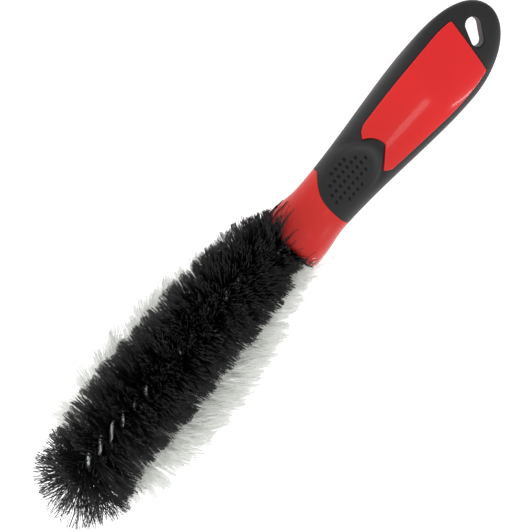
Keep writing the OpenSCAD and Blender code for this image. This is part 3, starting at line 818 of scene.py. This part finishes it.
# Filament ends of one bunch. Each leaves the wire square to the line between the strands, leans
# towards the handle, curls with the square of its length, and is drawn towards its tuft's own end
def makeBunch(name, kind, lowU, highU, node, finish, seed):
    k, f = kind, fibre
    rng = np.random.default_rng(seed)
    tipShare = float(smooth((aheadOf(np.array((lowU + highU) / 2)) - f["tipFrom"]) / f["tipSpan"]))
    ends = int(k["ends"] + (k["endsTip"] - k["ends"]) * tipShare)
    gather = k["gather"] + (k["gatherTip"] - k["gather"]) * tipShare
    tufts = int(k["tufts"] + (k["tuftsTip"] - k["tufts"]) * tipShare)
    tuftU = rng.uniform(lowU, highU, tufts)
    spread = blend(k["spread"], k["spreadTip"], (aheadOf(tuftU) - f["fanFrom"]) / f["fanSpan"])
    tuftTurn = rng.normal(0, 1, tufts) * spread + 180 * rng.integers(0, 2, tufts)
    tuftLean = rng.normal(0, k["leanSpread"], tufts)
    tuftLong = 1 - k["short"] * rng.beta(1.2, 3.0, tufts)
    which = rng.integers(0, tufts, ends)
    u = np.clip(tuftU[which] + rng.normal(0, f["apart"], ends), lowU, highU)
    turn = tuftTurn[which] + rng.normal(0, f["turnApart"], ends)
    lean = tuftLean[which] + rng.normal(0, f["leanApart"], ends)
    long = tuftLong[which] * (1 - k["short"] * 0.6 * rng.beta(1.0, 2.2, ends))
    # a few of the ends nearest the collar lie over it
    stray = (rng.random(ends) < k["strays"]) & (aheadOf(u) < f["strayEnd"])
    lean = np.where(stray, rng.uniform(*f["strayLean"], ends), lean)
    long = np.where(stray, long * f["strayLong"], long)
    curlTurn = rng.uniform(0, 2 * math.pi, ends)
    curl = k["curl"] * rng.rayleigh(0.5, ends)
    steps = np.linspace(0, 1, fibreRings)

    def paths(u, turn, lean, long, curl, curlTurn):
        way, out, side = wireAxes(u)
        t = strandTurn(u, 90.0 + turn)[:, None]
        radial = np.cos(t) * out + np.sin(t) * side
        ahead = aheadOf(u)
        reach = np.interp(ahead, k["reachAt"], k["reach"])
        half = wireAt(u)[:, 2]
        inwards = np.clip(-(radial * out).sum(-1), 0, 1)
        room = (np.abs(half) + k["inward"]) / np.maximum(inwards, 1e-3)
        reach = np.where(inwards > 0.05, np.minimum(reach, room), reach)
        lower = np.clip(-fromHairpin(radial)[:, 1], 0, 1)
        reach = reach * (1 - lower * k["lowRoot"] * (1 - smooth(ahead / f["lowRootEnd"])))
        root = blend(k["leanRoot"], k["leanMiddle"], ahead / f["leanMiddleAt"])
        tipPart = (ahead - f["leanTipFrom"]) / (stem["length"] - f["leanTipFrom"])
        full = np.where(ahead < f["leanMiddleAt"], root, blend(k["leanMiddle"], k["leanTip"], tipPart))
        tilt = np.radians(full + lean)[:, None]
        back = np.array([[1.0, 0.0, 0.0]])
        back = unit(back - (back * radial).sum(-1, keepdims=True) * radial)
        size = 2 * (reach * long)[:, None] / (np.cos(tilt * k["early"]) + np.cos(tilt * k["late"]))
        s = steps[None, :, None]
        early, late = tilt * k["early"], tilt * k["late"]
        lean1 = (np.cos(early) * radial + np.sin(early) * back)[:, None]
        lean2 = (np.cos(late) * radial + np.sin(late) * back)[:, None]
        line = wireAt(u)[:, None] + size[:, None] * (lean1 * (s - s * s / 2) + lean2 * s * s / 2)
        line[..., 1] -= k["sag"] * smooth((ahead - f["sagFrom"]) / f["sagSpan"])[:, None] * s[..., 0]
        bendWay = np.cos(curlTurn)[:, None] * way + np.sin(curlTurn)[:, None] * np.cross(radial, way)
        return line + (size * curl[:, None])[:, None] * bendWay[:, None] * s * s

    own = paths(u, turn, lean, long, curl, curlTurn)
    nothing = np.zeros(tufts)
    tuft = paths(tuftU, tuftTurn, tuftLean, tuftLong, nothing, nothing)[which]
    pull = np.where(stray, 0, gather * rng.uniform(0.55, 1.0, ends))[:, None, None]
    pull = pull * (steps ** 1.4)[None, :, None]
    middle = fromHairpin(own * (1 - pull) + tuft * pull)
    # ends that lean over the collar lie on it
    radius = np.hypot(middle[..., 1], middle[..., 2])
    over = halfWidth(np.clip(middle[..., 0], 2.6, 30)) + f["overCollar"]
    collar = np.where(middle[..., 0] > f["collarFrom"], over, 0)
    push = np.where(radius < collar, collar / np.maximum(radius, 1.0), 1.0)
    middle[..., 1:] *= push[..., None]
    # ends that reach the floor lie on it
    middle[..., 2] = np.maximum(middle[..., 2], k["width"] / 2 - origin[2])
    way = unit(np.gradient(middle, axis=1))
    first = unit(np.cross(way, np.array([0.31, 0.52, 0.80])))
    second = np.cross(way, first)
    t = np.linspace(0, 2 * math.pi, fibreSides, endpoint=False)[None, None, :, None]
    width = k["width"] / 2 * rng.uniform(0.85, 1.15, ends)[:, None]
    width = width * np.linspace(1.0, 0.8, fibreRings)[None]
    ring = middle[:, :, None] + width[..., None, None] * (
        np.cos(t) * first[:, :, None] + np.sin(t) * second[:, :, None])
    numbers = np.arange(ends * fibreRings * fibreSides).reshape(ends, fibreRings, fibreSides)
    a, b = numbers[:, :-1], numbers[:, 1:]
    aNext, bNext = np.roll(a, -1, axis=2), np.roll(b, -1, axis=2)
    quads = np.stack([a, aNext, bNext, b], axis=-1).reshape(-1, 4)
    caps = np.vstack([numbers[:, 0][:, ::-1], numbers[:, -1]])
    shade = np.clip(rng.beta(1.6, 2.4, ends), 0, 1)
    return makePiece(name, ring.reshape(-1, 3), [quads, caps], finish, node, {
        "shade": np.repeat(shade, fibreRings * fibreSides),
        "along": np.tile(np.repeat(steps, fibreSides), ends)})


# Bunches of equal length along the wire, counted from the collar on both legs
def makeFilament(kind, name, node, finish, fromEnd):
    step = kind["length"] / kind["bunches"]
    for i in range(kind["bunches"]):
        low = kind["from"] + (kind["bunches"] - 1 - i if fromEnd else i) * step
        makeBunch(f"{name}{i + 1:02d}", kind, low, low + step, f"{node}_{i + 1:02d}",
                  finish, kind["seed"] + i)
    print(name, "ready,", kind["bunches"], "bunches")


makeFilament(blackFilament, "blackFilament", "black_bristles",
             finishes["black"], False)
makeFilament(whiteFilament, "whiteFilament", "white_bristles",
             finishes["white"], True)


studio = {
    "floorSize": 6.0, "floorGlow": 0.5, "worldStrength": 0.79, "lightTarget": (0.05, 0.0, 0.04),
    "keyPlace": (-1.1, 0.25, 0.9), "keySize": (0.8, 1.0), "keyPower": 10.2,
    "streakPlace": (0.19, -0.37, 1.3), "streakTarget": (0.09, 0.0, 0.05), "streakSize": (0.19, 0.18),
    "streakPower": 0.4,
    "edgePlace": (0.6, -0.95, 0.27), "edgeTarget": (0.1, 0.0, 0.05), "edgeSize": (0.8, 0.1),
    "edgePower": 2.5,
    "viewTilt": 14.6, "viewTurn": 48.7, "distance": 0.8, "lens": 120.5,
    "targetX": -12.9, "targetU": 1.2,
}


def makeFloor():
    half = studio["floorSize"] / 2
    mesh = bpy.data.meshes.new("floor")
    corners = [(-half, -half, 0), (half, -half, 0), (half, half, 0), (-half, half, 0)]
    mesh.from_pydata(corners, [], [(0, 1, 2, 3)])
    f = Finish("paleFloor")
    colour = f.mix(f.noise(300, 2.0), rgb(0.93, 0.93, 0.93), rgb(0.96, 0.96, 0.96))
    mesh.materials.append(f.shade({
        "Base Color": colour, "Roughness": 0.9, "Specular IOR Level": 0.1,
        "Emission Color": rgb(1, 1, 1), "Emission Strength": studio["floorGlow"]}))
    floor = bpy.data.objects.new("floor", mesh)
    bpy.context.scene.collection.objects.link(floor)


# A flat light that looks at its target
def addPanelLight(name, place, target, size, power, shape="RECTANGLE"):
    data = bpy.data.lights.new(name, "AREA")
    data.shape, data.size, data.size_y, data.energy = shape, size[0], size[1], power
    lamp = bpy.data.objects.new(name, data)
    bpy.context.scene.collection.objects.link(lamp)
    z = unit(np.array(place, float) - np.array(target, float))
    x = unit(np.cross(np.array([0.0, 1.0, 0.0]), z))
    y = np.cross(z, x)
    lamp.matrix_world = Matrix([[x[i], y[i], z[i], place[i]] for i in range(3)] + [[0, 0, 0, 1]])


def makeLight():
    scene = bpy.context.scene
    world = bpy.data.worlds.new("studio")
    world.use_nodes = True
    world.node_tree.nodes["Background"].inputs["Color"].default_value = rgb(1, 1, 1)
    world.node_tree.nodes["Background"].inputs["Strength"].default_value = studio["worldStrength"]
    scene.world = world
    scene.view_settings.view_transform = "Standard"
    d = studio
    addPanelLight("keyLight", d["keyPlace"], d["lightTarget"], d["keySize"], d["keyPower"])
    addPanelLight("streakLight", d["streakPlace"], d["streakTarget"], d["streakSize"], d["streakPower"],
                  "ELLIPSE")
    addPanelLight("edgeLight", d["edgePlace"], d["edgeTarget"], d["edgeSize"], d["edgePower"])


# The camera stands off the handle's face, tilted towards +Y and turned about its own line of sight
def makeCamera():
    s = studio
    tilt, turn = math.radians(s["viewTilt"]), math.radians(s["viewTurn"])
    toCamera = np.array([0, math.sin(tilt), math.cos(tilt)])
    along = np.array([1.0, 0, 0])
    across = np.array([0, math.cos(tilt), -math.sin(tilt)])
    right = math.cos(turn) * along - math.sin(turn) * across
    up = math.sin(turn) * along + math.cos(turn) * across
    target = (origin + s["targetX"] * along + s["targetU"] * across) / 1000
    place = target + toCamera * s["distance"]
    data = bpy.data.cameras.new("camera")
    data.lens, data.sensor_width, data.clip_start = s["lens"], 36.0, 0.01
    camera = bpy.data.objects.new("camera", data)
    bpy.context.scene.collection.objects.link(camera)
    rows = [[right[i], up[i], toCamera[i], place[i]] for i in range(3)]
    camera.matrix_world = Matrix(rows + [[0, 0, 0, 1]])
    bpy.context.scene.camera = camera


makeFloor()
makeLight()
makeCamera()
print("studio ready")
